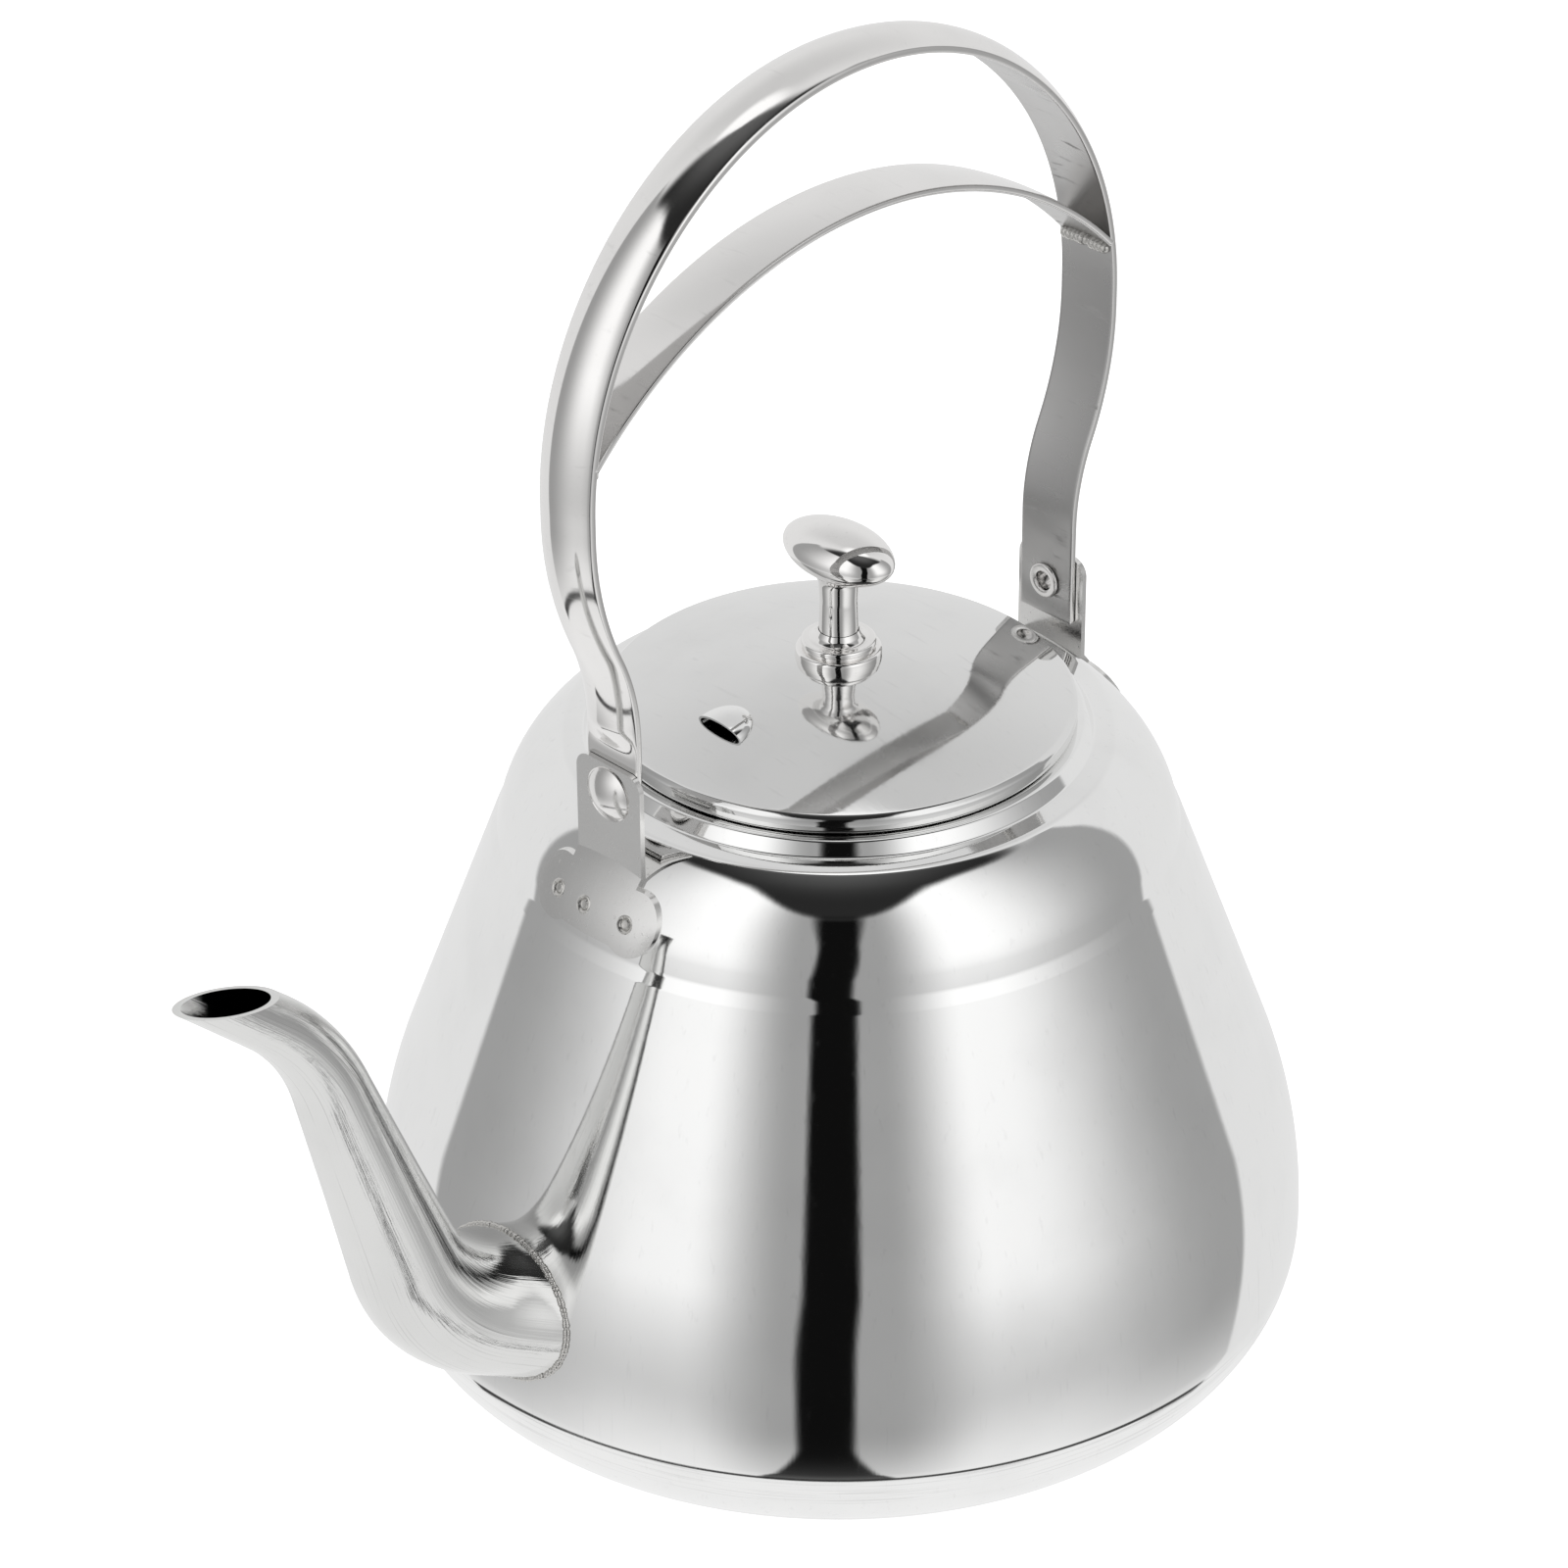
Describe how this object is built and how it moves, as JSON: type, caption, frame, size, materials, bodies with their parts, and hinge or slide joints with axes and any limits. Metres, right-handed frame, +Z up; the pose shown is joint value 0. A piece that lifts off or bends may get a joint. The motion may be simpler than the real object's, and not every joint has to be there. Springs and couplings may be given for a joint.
{
  "type": "stovetop kettle",
  "caption": "Polished steel stovetop kettle with a curved spout, a lift-off lid with a turned knob, and a swinging arched handle with a second grip bar.",
  "frame": {"origin": "centre of the flat base, on the body's axis", "axes": "+Z up along the body's axis, +X towards the spout, +Y to the left of the spout"},
  "size_m": [0.2333, 0.17, 0.2508],
  "materials": {
    "polished_steel": "mirror polished sheet steel with fine scratches",
    "inner_steel": "plain rolled steel",
    "strap_steel": "polished outside, satin inside",
    "weld_steel": "dull weld metal, lightly dressed",
    "knob_steel": "turned and polished",
    "fastener_steel": "bright, slightly worn"
  },
  "bodies": {
    "kettle": {"body_shell": "polished_steel", "base_pan": "polished_steel", "spout_half_left": "polished_steel", "spout_half_right": "polished_steel", "spout_weld": "weld_steel", "lug_front": "polished_steel", "lug_rear": "polished_steel", "rivet_front": "fastener_steel", "rivet_rear": "fastener_steel"},
    "bail": {"bail_strap": "strap_steel", "grip_bar": "strap_steel", "grip_welds": "weld_steel"},
    "lid": {"lid_plate": "polished_steel", "lid_skirt": "inner_steel", "knob_foot": "knob_steel", "knob_stem": "knob_steel", "knob_head": "knob_steel", "knob_screw": "fastener_steel", "knob_washer": "fastener_steel"}
  },
  "joints": [
    {"name": "bail_swing", "type": "hinge", "parent": "kettle", "child": "bail", "pos_m": [0, 0, 0.1291], "axis": [1, 0, 0], "range_deg": [-95, 95]},
    {"name": "lid_lift", "type": "slide", "parent": "kettle", "child": "lid", "axis": [0, 0, 1], "range_m": [0, 0.04]}
  ]
}
